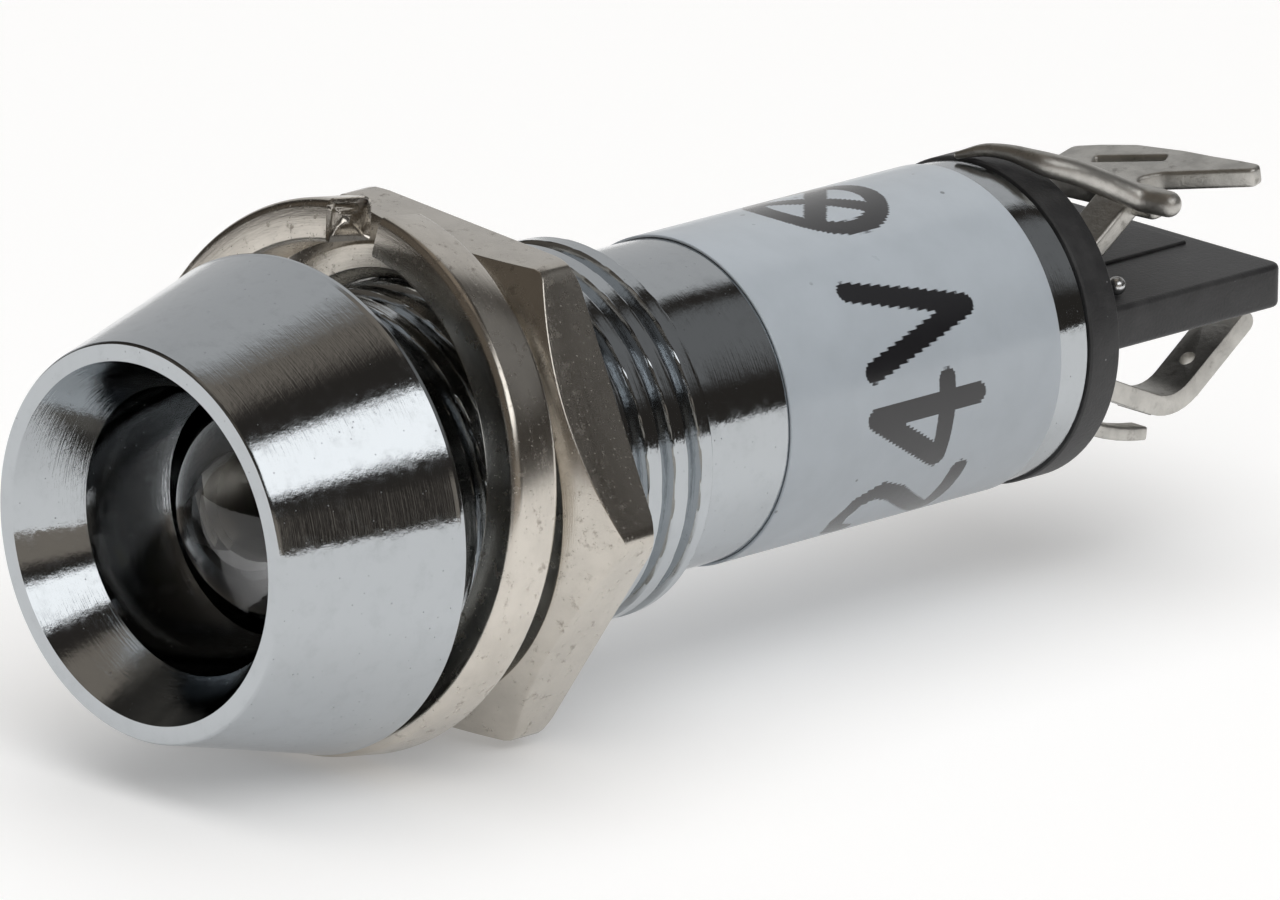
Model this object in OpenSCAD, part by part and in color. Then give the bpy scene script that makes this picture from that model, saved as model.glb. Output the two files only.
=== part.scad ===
// Chromed metal panel pilot light with a recessed 5 mm LED, lock washer, hex nut and two solder lugs.
// Millimetres. Y runs along the axis from the lens side (-Y) to the lugs (+Y); y = 0 is the face that sits on the panel; Z is up with the divider of the rear plug level.

/* [Bezel and reflector] */
// Radius of the bezel at its front rim
rim_r = 4.16; // [3.8:0.02:4.6]
// Radius of the mouth of the reflector
mouth_r = 3.76; // [3.3:0.02:4.0]
// Radius of the bezel where it meets the panel
bezel_r = 5.18; // [4.8:0.02:6.5]
// Length of the bezel in front of the panel
bezel_len = 4.2; // [3:0.1:6]
// Depth of the plain cone inside the mouth
cone_depth = 1.33; // [0.8:0.05:1.6]
// Radius at the small end of that cone
cone_r = 3.0; // [2.8:0.05:3.2]

/* [Thread and barrel] */
// Outside radius of the M8 thread
thread_r = 4.0; // [4:0.1:4]
// Depth of one thread groove
thread_depth = 0.34; // [0.2:0.02:0.4]
// Distance from one thread crest to the next
pitch = 0.75; // [0.75:0.25:1]
// Width of the flat left on a crest
crest_w = 0.33; // [0.1:0.01:0.4]
// Number of thread crests
crests = 10; // [8:1:10]
// Length of the plain register that fits the panel hole
register_len = 0.34; // [0.2:0.02:0.4]
// Radius of the smooth rear barrel
barrel_r = 3.42; // [3.3:0.02:3.6]
// Distance from the panel face to the rear end of the barrel
barrel_end = 19.64; // [18:0.02:24]
// Radius of the bore inside the barrel
bore_r = 3.0; // [2.95:0.01:3.05]

/* [Washer and nut] */
// Radial width of the lock washer section
washer_w = 0.9; // [0.7:0.05:1.0]
// Axial height of the lock washer section
washer_h = 1.28; // [1:0.02:1.3]
// Inside radius of the lock washer
washer_r = 4.8; // [4.7:0.05:4.9]
// Lean of the loose lock washer on the thread, in degrees
washer_lean = 8.6; // [6:0.1:8.6]
// Opening between the two ends of the lock washer, in degrees
washer_gap = 16; // [8:1:20]
// Width of the nut across its flats
nut_af = 10.2; // [9.6:0.1:12]
// Thickness of the nut
nut_h = 1.7; // [1.5:0.05:1.9]
// Distance from the panel face to the front of the nut
nut_y = 3.05; // [3.05:0.05:3.5]
// Turn of the nut about the axis, in degrees
nut_turn = -3.9; // [-30:0.1:30]
// Radial clearance between the nut and the thread
nut_clear = 0.04; // [0.02:0.01:0.08]

/* [LED] */
// Radius of the lens of the LED
led_r = 2.5; // [2.4:0.05:2.5]
// Centre of the lens dome behind the panel face
led_y = 0.25; // [0:0.05:0.5]
// Length of the straight part of the lens
led_len = 6.05; // [5.5:0.05:6.5]
// Thickness of the flange of the LED
flange_h = 1.0; // [0.8:0.05:1.2]
// Radial clearance between the lens and its hole
led_clear = 0.05; // [0.03:0.01:0.1]

/* [Rear end] */
// Radius of the rear plug
plug_r = 3.49; // [3.45:0.01:3.6]
// Thickness of the visible disc of the plug
plug_h = 0.87; // [0.8:0.01:1.4]
// Length of the divider between the lugs
divider_len = 5.04; // [3.5:0.02:6]
// Thickness of the divider
divider_h = 0.95; // [0.7:0.05:0.95]
// Width of the divider
divider_w = 6.6; // [6:0.1:6.6]
// Width of a solder lug
lug_w = 1.0; // [0.9:0.02:1.1]
// Thickness of a solder lug
lug_t = 0.44; // [0.3:0.01:0.5]
// Radius of the wire hole in the lower lug
lug_hole_r = 0.17; // [0.15:0.01:0.25]

/* [Label] */
// Thickness of the wrapped label
label_t = 0.06; // [0.04:0.01:0.1]
// Bare chrome left behind the label, up to the rear end of the barrel
label_gap = 0.87; // [0.5:0.01:1.2]
// Length of the label along the barrel
label_len = 7.89; // [7:0.01:8]

/* [Hidden] */
$fn = 64;
// small gaps between glued or nested pieces
gap = 0.02;
thread_start = 0.8;
thread_end = thread_start + crests * pitch;
lens_hole_r = led_r + led_clear;
flange_y = led_y + led_len - flange_h;
led_back = led_y + led_len;
flange_r = bore_r - 0.1;
divider_z = -0.13;
divider_round = 0.22;
plug_back = barrel_end + plug_h;
spigot_len = 2.6;
spigot_r = bore_r - 0.03;
lug_x = 1.5;
// height of the lug tails where they leave the plug
top_z = 1.05;
low_z = -0.95;
label_y = barrel_end - label_gap - label_len;
tail_len = 0.9;
tail_y = barrel_end - spigot_len - tail_len;
// legs of the LED and the wires soldered to them
lead_x = 1.1;
lead_z = 0.62;
leg_w = 0.5;
wire_r = 0.2;
link_z = low_z - lug_t / 2 - wire_r - gap;
cup_y = led_y + 2.75;
cup_x = -0.35;
cup_z = -0.3;
cup_r = 0.9;
cup_h = 1.5;
cup_floor = 0.5;
die_w = 0.3;
die_h = 0.44;
leg_end = led_back + 3.3;
potting_h = 1.6;
res_front = led_back + 4.7;
res_len = 3.4;
res_r = 0.9;
res_end = 0.8;
lead_in = 1.3;
sleeve_r = 1.06;
sleeve_t = 0.12;
sleeve_over = 2.4;
joint_len = 1.0;
joint_r = 0.5;
joint_back = 0.6;
wire_turn = tail_y - 0.58;
washer_lift = 0.28;
washer_shift = -0.28;
washer_y = 1.03;

// turns a solid made about Z onto the axis, with its Z along +Y
module axial() rotate([-90, 0, 0]) children();

// a round bar from one height along the axis to another
module bar(r, y0, y1, x = 0, z = 0) translate([x, y0, z]) axial() cylinder(r = r, h = y1 - y0);

// a block given by its centre across the axis and its two ends along it
module block(w, h, y0, y1, x = 0, z = 0) translate([x - w / 2, y0, z - h / 2]) cube([w, y1 - y0, h]);

// extrudes a drawing of the side view, drawn as (y, z), across X
module across(w, x) translate([x - w / 2, 0, 0]) rotate([90, 0, 90]) linear_extrude(w) children();

bowl_top = -bezel_len + cone_depth;
bowl_c = [1.9, -2.6];
bowl_a = 1.15;
bowl_b = 2.0;
bowl_end = bowl_c[1] + bowl_b * sqrt(1 - pow((lens_hole_r - bowl_c[0]) / bowl_a, 2));
bowl_steps = 14;
bowl = [for (i = [0:bowl_steps]) let (y = bowl_top + 0.02 + (bowl_end - bowl_top - 0.02) * i / bowl_steps) [bowl_c[0] + bowl_a * sqrt(1 - pow((y - bowl_c[1]) / bowl_b, 2)), y]];
flank = (pitch - crest_w) / 2 - 0.03;
ridges = [for (i = [0:crests - 1]) let (y = thread_start + i * pitch) each [[thread_r - thread_depth, y + 0.03], [thread_r, y + 0.03 + flank], [thread_r, y + 0.03 + flank + crest_w], [thread_r - thread_depth, y + pitch - 0.03]]];

module body_shell() color([0.78, 0.8, 0.83]) axial() rotate_extrude($fn = 96) polygon(concat(
    [[mouth_r, -bezel_len], [rim_r - 0.04, -bezel_len], [rim_r, -bezel_len + 0.06], [bezel_r - 0.03, -0.22], [bezel_r, -0.14], [bezel_r, -0.05], [bezel_r - 0.05, 0], [thread_r, 0], [thread_r, register_len], [thread_r - thread_depth, register_len + 0.12]],
    ridges,
    [[thread_r - thread_depth, thread_end + 0.05], [barrel_r, thread_end + 0.3], [barrel_r, barrel_end - 0.05], [barrel_r - 0.05, barrel_end], [bore_r, barrel_end], [bore_r, flange_y], [lens_hole_r, flange_y]],
    [for (i = [0:bowl_steps]) bowl[bowl_steps - i]],
    [[cone_r, bowl_top]]));

module lens_solid() {
    translate([0, led_y, 0]) sphere(r = led_r);
    bar(led_r, led_y, led_back);
    bar(flange_r, flange_y + gap, led_back);
}

module cathode_solid() {
    difference() {
        translate([cup_x, cup_y, cup_z]) axial() cylinder(r1 = cup_r, r2 = 0.83 * cup_r, h = cup_h);
        translate([cup_x, cup_y - 0.01, cup_z]) axial() cylinder(r1 = 0.69 * cup_r, r2 = 0.39 * cup_r, h = cup_floor);
    }
    block(leg_w, leg_w, cup_y + 0.9 * cup_h, leg_end, -lead_x, -lead_z);
    block(1.8 * leg_w, 1.4 * leg_w, cup_y + 0.8 * cup_h, cup_y + 1.3 * cup_h, (cup_x - lead_x) / 2 - 0.15 * leg_w, -lead_z);
}

module anode_solid() {
    block(leg_w, leg_w, cup_y + 0.6 * cup_h, leg_end, lead_x, lead_z);
    block(1.4 * leg_w, 1.2 * leg_w, cup_y + 0.27 * cup_h, cup_y + 0.67 * cup_h, lead_x - 0.2 * leg_w, lead_z - 0.1 * leg_w);
}

module chip_solid() translate([cup_x, cup_y + cup_floor - die_h / 2 - 0.01, cup_z]) cube([die_w, die_h, die_w], center = true);

module led_lens() color([0.9, 0.92, 0.93, 0.5]) difference() {
    intersection() {
        lens_solid();
        bar(led_r + 1, led_y - led_r - 1, led_back);
    }
    cathode_solid();
    anode_solid();
    chip_solid();
}

module led_cathode() color([0.75, 0.75, 0.73]) difference() { cathode_solid(); chip_solid(); }
module led_anode() color([0.75, 0.75, 0.73]) anode_solid();
module led_chip() color([0.9, 0.85, 0.5]) chip_solid();

module led_potting() color([0.12, 0.12, 0.12]) difference() {
    bar(bore_r - gap, led_back + gap, led_back + potting_h);
    block(leg_w + 2 * gap, leg_w + 2 * gap, led_back - 1, led_back + 2 * potting_h, lead_x, lead_z);
    block(leg_w + 2 * gap, leg_w + 2 * gap, led_back - 1, led_back + 2 * potting_h, -lead_x, -lead_z);
}

res_back = res_front + res_len;
module resistor_body() color([0.75, 0.65, 0.45]) translate([lead_x, 0, lead_z]) axial() rotate_extrude($fn = 48)
    polygon([[wire_r + gap / 2, res_front], [0.67 * res_r, res_front], [res_r, res_front + 0.3 * res_end], [res_r, res_front + res_end], [0.84 * res_r, res_front + 1.25 * res_end], [0.84 * res_r, res_back - 1.25 * res_end], [res_r, res_back - res_end], [res_r, res_back - 0.3 * res_end], [0.67 * res_r, res_back], [wire_r + gap / 2, res_back]]);

module resistor_lead_front() color([0.72, 0.72, 0.7]) bar(wire_r, leg_end + gap, res_front + lead_in, lead_x, lead_z);
module resistor_lead_rear() color([0.72, 0.72, 0.7]) bar(wire_r, res_back - lead_in, tail_y + joint_back, lead_x, lead_z);

module resistor_sleeve() color([0.1, 0.1, 0.1]) difference() {
    bar(sleeve_r, res_front - sleeve_over, res_back + sleeve_over / 3, lead_x, lead_z);
    bar(sleeve_r - sleeve_t, res_front - sleeve_over - 1, res_back + sleeve_over, lead_x, lead_z);
}

module link_path() {
    bar(wire_r, leg_end + gap, wire_turn, -lead_x, link_z);
    translate([-lead_x, wire_turn, link_z]) sphere(r = wire_r);
    translate([-lead_x, wire_turn, link_z]) rotate([0, 90, 0]) cylinder(r = wire_r, h = lead_x + lug_x);
    translate([lug_x, wire_turn, link_z]) sphere(r = wire_r);
    bar(wire_r, wire_turn, tail_y + joint_back, lug_x, link_z);
}
module link_wire() color([0.72, 0.72, 0.7]) link_path();
module link_sleeve() color([0.1, 0.1, 0.1]) difference() {
    bar(wire_r + gap + 1.3 * sleeve_t, leg_end + 0.7 * joint_len, wire_turn - 3 * wire_r, -lead_x, link_z);
    bar(wire_r + gap, leg_end, wire_turn, -lead_x, link_z);
}

module solder_anode() color([0.7, 0.71, 0.72]) difference() {
    bar(joint_r, leg_end - 0.4 * joint_len, leg_end + 0.6 * joint_len, lead_x, lead_z);
    anode_solid();
    resistor_lead_front();
}
module solder_cathode() color([0.7, 0.71, 0.72]) difference() {
    bar(1.16 * joint_r, leg_end - 0.4 * joint_len, leg_end + 0.5 * joint_len, -lead_x, (link_z - lead_z) / 2);
    cathode_solid();
    link_path();
}

// side view of a bent strip: a straight run of given centre line and thickness
module run2d(p, a, l) translate(p) rotate(a) translate([-0.02, -lug_t / 2]) square([l + 0.04, lug_t]);
// side view of a bend about a centre, between two directions seen from it
module bend2d(c, r, a0, a1) intersection() {
    translate(c) difference() { circle(r = r + lug_t / 2); circle(r = r - lug_t / 2); }
    translate(c) polygon([[0, 0], [4 * cos(a0), 4 * sin(a0)], [4 * cos(a1), 4 * sin(a1)]]);
}

low_leg = -24;
low_arm = 36;
low_bend = 1.2;
low_p0 = [plug_back + 0.05, low_z];
low_leg_len = 2.76;
low_p1 = [low_p0[0] + low_leg_len * cos(low_leg), low_p0[1] + low_leg_len * sin(low_leg)];
low_c = [low_p1[0] - low_bend * sin(low_leg), low_p1[1] + low_bend * cos(low_leg)];
low_p2 = [low_c[0] + low_bend * sin(low_arm), low_c[1] - low_bend * cos(low_arm)];
low_arm_len = 1.9;
low_hole_in = 0.52;
low_hole = [low_p2[0] + low_hole_in * cos(low_arm), low_p2[1] + low_hole_in * sin(low_arm)];
low_end = [low_p2[0] + low_arm_len * cos(low_arm), low_p2[1] + low_arm_len * sin(low_arm)];

module low_solid() difference() {
    across(lug_w, lug_x) {
        translate([tail_y, low_z - lug_t / 2]) square([plug_back + 0.05 - tail_y, lug_t]);
        translate(low_p0) circle(r = lug_t / 2);
        run2d(low_p0, low_leg, low_leg_len);
        bend2d(low_c, low_bend, low_leg - 90, low_arm - 90);
        run2d(low_p2, low_arm, low_arm_len);
        translate(low_end) circle(r = lug_t / 2);
    }
    translate([lug_x, low_hole[0], low_hole[1]]) rotate([low_arm, 0, 0]) cylinder(r = lug_hole_r, h = 2, center = true, $fn = 32);
}

top_leg = 35.5;
top_bend = 0.45;
top_p0 = [plug_back + 0.05, top_z];
top_leg_len = 2.15;
top_p1 = [top_p0[0] + top_leg_len * cos(top_leg), top_p0[1] + top_leg_len * sin(top_leg)];
head_a = 8;
head_t = 0.42;
head_roll = -2.5;
top_c = [top_p1[0] + top_bend * sin(top_leg), top_p1[1] - top_bend * cos(top_leg)];
top_p2 = [top_c[0] - top_bend * sin(head_a), top_c[1] + top_bend * cos(head_a)];

// points of the hook: across, along, up and the radius of the round bar there
hook_y = plug_back;
hook_z = max(plug_r, barrel_r + 0.07);
hook = [[-0.37, hook_y - 1.0, hook_z + 0.04, 0.08], [0.04, hook_y - 0.77, hook_z + 0.18, 0.13], [0.3, hook_y - 0.61, hook_z + 0.21, 0.15], [0.68, hook_y - 0.44, hook_z + 0.19, 0.18], [1.08, hook_y - 0.34, hook_z + 0.14, 0.22], [1.42, hook_y - 0.18, hook_z + 0.06, 0.26], [1.75, hook_y + 0.34, hook_z - 0.14, 0.27], [1.95, hook_y + 1.14, hook_z - 0.53, 0.27], [2.27, hook_y + 1.74, hook_z - 0.85, 0.27], [2.85, hook_y + 1.99, hook_z - 0.9, 0.28]];

// a tapered round bar between two such points
module link(a, b) {
    d = [b[0] - a[0], b[1] - a[1], b[2] - a[2]];
    translate([a[0], a[1], a[2]]) rotate([0, acos(d[2] / norm(d)), atan2(d[1], d[0])]) cylinder(r1 = a[3], r2 = b[3], h = norm(d), $fn = 32);
}

module top_solid() {
    across(lug_w, lug_x) {
        translate([tail_y, top_z - lug_t / 2]) square([plug_back + 0.05 - tail_y, lug_t]);
        translate(top_p0) circle(r = lug_t / 2);
        run2d(top_p0, top_leg, top_leg_len);
        bend2d(top_c, top_bend, 90 + head_a, 90 + top_leg);
    }
    // head plate with the tongue behind it
    translate([0, top_p2[0], top_p2[1]]) translate([lug_x, 0, 0]) rotate([head_a, head_roll, 0]) translate([-lug_x, 0, -head_t / 2]) linear_extrude(head_t) difference() {
        union() {
            translate([lug_x - lug_w / 2, -0.05]) square([lug_w, 0.5]);
            translate([-0.6, -0.1]) square([1.2, 0.6]);
            translate([-0.95, 0.2]) square([3.2, 0.4]);
            translate([lug_x + 0.25, -0.22]) square([0.85, 0.6]);
            polygon([[-1.2, 0.3], [-1.36, 1.3], [-1.4, 1.52], [-0.87, 1.88], [-0.15, 2.24], [1.03, 2.45], [1.84, 2.5], [2.55, 2.58], [3.02, 2.6], [3.2, 2.3], [1.5, 1.2], [1.1, 0.5], [1.1, 0.1]]);
            translate([3.03, 2.44]) circle(r = 0.165);
        }
        translate([-0.32, 1.0]) rotate(30) square([1.55, 0.3]);
    }
    // tapered hook that runs from the head forward over the rim of the plug
    for (i = [0:len(hook) - 2]) link(hook[i], hook[i + 1]);
    for (h = hook) translate([h[0], h[1], h[2]]) sphere(r = h[3], $fn = 32);
}

module terminal_low() color([0.66, 0.65, 0.62]) low_solid();
module terminal_top() color([0.66, 0.65, 0.62]) top_solid();

module solder_tail_top() color([0.7, 0.71, 0.72]) difference() {
    bar(0.8 * joint_r, tail_y + 0.05, tail_y + 0.75 * joint_len, (lead_x + lug_x) / 2 - 0.1 * joint_r, lead_z);
    top_solid();
    resistor_lead_rear();
}
module solder_tail_low() color([0.7, 0.71, 0.72]) difference() {
    bar(0.8 * joint_r, tail_y + 0.05, tail_y + 0.75 * joint_len, lug_x, link_z);
    low_solid();
    link_path();
}

tab_z = -1.93;
tab_x = 2.05;
tab_t = 0.3;
tab_r = 6;
tab_c = [plug_back + 0.05 + tab_r * sin(27), tab_z + tab_r * cos(27)];
module keeper_tab() color([0.66, 0.65, 0.62]) across(0.5, tab_x) {
    translate([plug_back - 0.8, tab_z - tab_t / 2]) square([0.85, tab_t]);
    translate([plug_back + 0.05, tab_z]) circle(r = tab_t / 2);
    intersection() {
        translate(tab_c) difference() { circle(r = tab_r + tab_t / 2, $fn = 128); circle(r = tab_r - tab_t / 2, $fn = 128); }
        translate(tab_c) polygon([[0, 0], [8 * sin(-27), -8 * cos(27)], [8 * sin(-6.5), -8 * cos(6.5)]]);
    }
}

blob_x = 2.66;
blob_y = plug_back + 0.69;
module solder_blob() color([0.75, 0.75, 0.74]) {
    bar(0.14, plug_back - 0.8, blob_y, blob_x, divider_z + divider_h + 0.2);
    translate([blob_x, blob_y, divider_z + divider_h + 0.22]) sphere(r = 0.2, $fn = 32);
}

module rear_plug() color([0.1, 0.1, 0.1]) difference() {
    union() {
        axial() rotate_extrude($fn = 96) polygon([[0, barrel_end - spigot_len], [spigot_r - 0.15, barrel_end - spigot_len], [spigot_r, barrel_end - spigot_len + 0.2], [spigot_r, barrel_end], [plug_r - 0.03, barrel_end], [plug_r, barrel_end + 0.05], [plug_r, plug_back - 0.05], [plug_r - 0.05, plug_back], [0, plug_back]]);
        intersection() {
            translate([0, 0, divider_z]) linear_extrude(divider_h) {
                translate([-divider_w / 2, plug_back - 0.2]) square([divider_w, divider_len + 0.2 - divider_round]);
                translate([-divider_w / 2 + divider_round, plug_back]) square([divider_w - 2 * divider_round, divider_len]);
                translate([-divider_w / 2 + divider_round, plug_back + divider_len - divider_round]) circle(r = divider_round);
                translate([divider_w / 2 - divider_round, plug_back + divider_len - divider_round]) circle(r = divider_round);
            }
            across(divider_w + 1, 0) {
                translate([plug_back - 0.3, divider_z]) square([divider_len + 0.3 - divider_round, divider_h]);
                translate([plug_back, divider_z + divider_round]) square([divider_len, divider_h - 2 * divider_round]);
                translate([plug_back + divider_len - divider_round, divider_z + divider_round]) circle(r = divider_round);
                translate([plug_back + divider_len - divider_round, divider_z + divider_h - divider_round]) circle(r = divider_round);
            }
        }
        translate([-divider_w / 2 + 0.15, plug_back - 0.1, divider_z + divider_h - 0.1]) cube([divider_w / 2 + 0.8, divider_len - 0.35, 0.17]);
    }
    block(lug_w + 2 * gap, lug_t + 2 * gap, tail_y - 1, plug_back + 1.2, lug_x, top_z);
    block(lug_w + 2 * gap, lug_t + 2 * gap, tail_y - 1, plug_back + 1.2, lug_x, low_z);
    block(0.5 + 2 * gap, tab_t + 2 * gap, plug_back - 0.82, plug_back + 1, tab_x, tab_z);
    bar(0.14 + gap, plug_back - 0.85, plug_back + 1, blob_x, divider_z + divider_h + 0.2);
    translate([blob_x, blob_y, divider_z + divider_h + 0.22]) sphere(r = 0.2 + gap, $fn = 32);
}

module label() color([0.85, 0.88, 0.92]) difference() {
    bar(barrel_r + 0.005 + label_t, label_y, label_y + label_len, $fn = 96);
    bar(barrel_r + 0.005, label_y - 1, label_y + label_len + 1, $fn = 96);
}

module lock_washer() color([0.7, 0.68, 0.64]) translate([washer_shift, washer_y, washer_lift]) rotate([-washer_lean, 0, 0]) difference() {
    axial() rotate_extrude($fn = 96) translate([washer_r, 0]) polygon([[0.08, 0], [washer_w - 0.2, 0], [washer_w - 0.06, 0.06], [washer_w, 0.2], [washer_w, washer_h - 0.2], [washer_w - 0.06, washer_h - 0.06], [washer_w - 0.2, washer_h], [0.08, washer_h], [0, washer_h - 0.08], [0, 0.08]]);
    rotate([0, -89, 0]) translate([0, -1, 0]) rotate([90, 0, 0]) mirror([0, 0, 1]) linear_extrude(washer_h + 2) polygon([[0, 0], [9, -9 * tan(washer_gap / 2)], [9, 9 * tan(washer_gap / 2)]]);
}

nut_face_r = 4.78;
nut_corner_r = nut_af / 2 / cos(30);
module hex_nut() color([0.7, 0.68, 0.64]) translate([0, nut_y, 0]) rotate([0, -nut_turn, 0]) axial() difference() {
    intersection() {
        cylinder(r = nut_corner_r, h = nut_h, $fn = 6);
        rotate_extrude($fn = 96) polygon([[0, 0], [nut_face_r, 0], [nut_corner_r + 0.2, (nut_corner_r + 0.2 - nut_face_r) * 0.72], [nut_corner_r + 0.2, nut_h - 0.28], [nut_corner_r - 0.25, nut_h], [0, nut_h]]);
    }
    translate([0, 0, -1]) cylinder(r = thread_r + nut_clear, h = nut_h + 2, $fn = 96);
    translate([0, 0, -0.01]) cylinder(r1 = thread_r + 0.3, r2 = thread_r, h = 0.3, $fn = 96);
    translate([0, 0, nut_h - 0.29]) cylinder(r1 = thread_r, r2 = thread_r + 0.3, h = 0.3, $fn = 96);
}

body_shell();
led_lens();
led_cathode();
led_anode();
led_chip();
led_potting();
resistor_body();
resistor_lead_front();
resistor_lead_rear();
resistor_sleeve();
link_wire();
link_sleeve();
solder_anode();
solder_cathode();
solder_tail_top();
solder_tail_low();
rear_plug();
terminal_top();
terminal_low();
keeper_tab();
solder_blob();
label();
lock_washer();
hex_nut();
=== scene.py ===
import math

import bmesh
import bpy
import numpy as np
from mathutils import Matrix, Vector
from mathutils.geometry import tessellate_polygon


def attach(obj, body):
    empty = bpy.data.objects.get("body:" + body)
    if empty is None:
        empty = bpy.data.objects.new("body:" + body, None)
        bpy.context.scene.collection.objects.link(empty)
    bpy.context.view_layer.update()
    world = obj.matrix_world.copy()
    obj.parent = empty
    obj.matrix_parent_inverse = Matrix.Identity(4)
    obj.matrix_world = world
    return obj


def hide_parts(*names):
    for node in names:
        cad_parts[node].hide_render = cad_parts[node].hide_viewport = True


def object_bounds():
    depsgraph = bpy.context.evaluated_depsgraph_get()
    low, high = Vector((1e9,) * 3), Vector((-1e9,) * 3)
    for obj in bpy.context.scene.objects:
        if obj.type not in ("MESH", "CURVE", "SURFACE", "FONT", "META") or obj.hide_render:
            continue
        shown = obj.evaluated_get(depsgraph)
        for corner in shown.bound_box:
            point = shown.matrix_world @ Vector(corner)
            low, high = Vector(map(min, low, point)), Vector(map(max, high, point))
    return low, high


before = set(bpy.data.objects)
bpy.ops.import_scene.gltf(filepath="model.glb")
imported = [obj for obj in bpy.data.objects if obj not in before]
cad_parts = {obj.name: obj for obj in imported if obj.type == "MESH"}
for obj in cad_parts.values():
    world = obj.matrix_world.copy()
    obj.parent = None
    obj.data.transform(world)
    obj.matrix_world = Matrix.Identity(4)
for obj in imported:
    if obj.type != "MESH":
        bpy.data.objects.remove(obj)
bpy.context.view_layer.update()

mm = 0.001
print("frame loaded")


# ---------- shader maths ----------

class Sock:
    # one output of a node; sums and products of it add Math nodes

    def __init__(self, tree, out):
        self.tree, self.out = tree, out

    def node(self, kind, settings, values, output=0):
        # any node: its type, its settings, then the values or links of its sockets
        made = self.tree.nodes.new(kind)
        for key, value in settings.items():
            if key == "stops":
                ramp = made.color_ramp
                while len(ramp.elements) < len(value):
                    ramp.elements.new(0.5)
                for element, (place, shade) in zip(ramp.elements, value):
                    element.position = place
                    element.color = (*shade, 1) if isinstance(shade, tuple) else (shade, shade, shade, 1)
            else:
                setattr(made, key, value)
        for key, value in (values.items() if isinstance(values, dict) else enumerate(values)):
            if isinstance(value, Sock):
                self.tree.links.new(value.out, made.inputs[key])
            elif value is not None:
                made.inputs[key].default_value = value
        return Sock(self.tree, made.outputs[output])

    def math(self, operation, *values, clamp=False):
        return self.node("ShaderNodeMath", {"operation": operation, "use_clamp": clamp}, values)

    def __add__(self, other): return self.math("ADD", self, other)
    def __radd__(self, other): return self.math("ADD", other, self)
    def __sub__(self, other): return self.math("SUBTRACT", self, other)
    def __rsub__(self, other): return self.math("SUBTRACT", other, self)
    def __mul__(self, other): return self.math("MULTIPLY", self, other)
    def __rmul__(self, other): return self.math("MULTIPLY", other, self)
    def __truediv__(self, other): return self.math("DIVIDE", self, other)
    def __rtruediv__(self, other): return self.math("DIVIDE", other, self)
    def __neg__(self): return self.math("MULTIPLY", self, -1.0)
    def __abs__(self): return self.math("ABSOLUTE", self)
    def root(self): return self.math("SQRT", self)
    def clamp(self): return self.math("ADD", self, 0.0, clamp=True)
    def round(self): return self.math("ROUND", self)
    def least(self, other): return self.math("MINIMUM", self, other)
    def most(self, other): return self.math("MAXIMUM", self, other)
    def power(self, other): return self.math("POWER", self, other)

    def smooth(self, low, high):
        # 0 below low, 1 above high, eased between them; low may be the larger
        return self.node("ShaderNodeMapRange", {"interpolation_type": "SMOOTHSTEP"},
                         {"Value": self, "From Min": low, "From Max": high})

    def between(self, low, high, soft):
        return self.smooth(low - soft, low + soft) * self.smooth(high + soft, high - soft)

    def mix(self, low, high):
        # colours blended by this value
        return self.node("ShaderNodeMix", {"data_type": "RGBA"},
                         {0: self, 6: low if isinstance(low, Sock) else (*low, 1),
                          7: high if isinstance(high, Sock) else (*high, 1)}, 2)


class Surface:
    # a material with its Principled shader and its place on the piece in millimetres

    def __init__(self, name, **fixed):
        self.material = bpy.data.materials.new(name)
        self.material.use_nodes = True
        self.tree = self.material.node_tree
        self.shader = self.tree.nodes["Principled BSDF"]
        for key, value in fixed.items():
            self.shader.inputs[key.replace("_", " ")].default_value = value
        self.base = Sock(self.tree, None)
        self.place = self.base.node("ShaderNodeTexCoord", {}, [], "Object")
        self.place = self.base.node("ShaderNodeVectorMath", {"operation": "SCALE"}, {0: self.place, "Scale": 1000.0})
        self.x, self.y, self.z = (self.base.node("ShaderNodeSeparateXYZ", {}, [self.place], axis) for axis in "XYZ")
        self.radius = (self.x * self.x + self.z * self.z).root()
        self.turn = self.base.math("ARCTAN2", self.x, self.z)  # radians from +Z towards +X

    def vector(self, x, y, z):
        return self.base.node("ShaderNodeCombineXYZ", {}, [x, y, z])

    def noise(self, at, scale, detail=3.0, roughness=0.55):
        return self.base.node("ShaderNodeTexNoise", {}, {"Vector": at, "Scale": scale, "Detail": detail, "Roughness": roughness})

    def cells(self, at, scale, feature="F1"):
        return self.base.node("ShaderNodeTexVoronoi", {"feature": feature}, {"Vector": at, "Scale": scale}, "Distance")

    def set(self, **sockets):
        for key, value in sockets.items():
            self.tree.links.new(value.out, self.shader.inputs[key.replace("_", " ")])
        return self

    def bump(self, height, depth):
        # depth in millimetres for a height of 1
        made = self.base.node("ShaderNodeBump", {}, {"Height": height, "Distance": depth * mm, "Strength": 1.0})
        self.tree.links.new(made.out, self.shader.inputs["Normal"])
        return self


# ---------- mesh work ----------

def gridFaces(rows, cols, wrapRows=False, wrapCols=True, start=0):
    # quads between neighbouring rows and columns of a grid of points
    r = np.arange(rows if wrapRows else rows - 1)[:, None]
    c = np.arange(cols if wrapCols else cols - 1)[None, :]
    r2, c2 = (r + 1) % rows, (c + 1) % cols
    quads = np.stack((r * cols + c, r * cols + c2, r2 * cols + c2, r2 * cols + c), -1)
    return (quads.reshape(-1, 4) + start).tolist()


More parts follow.
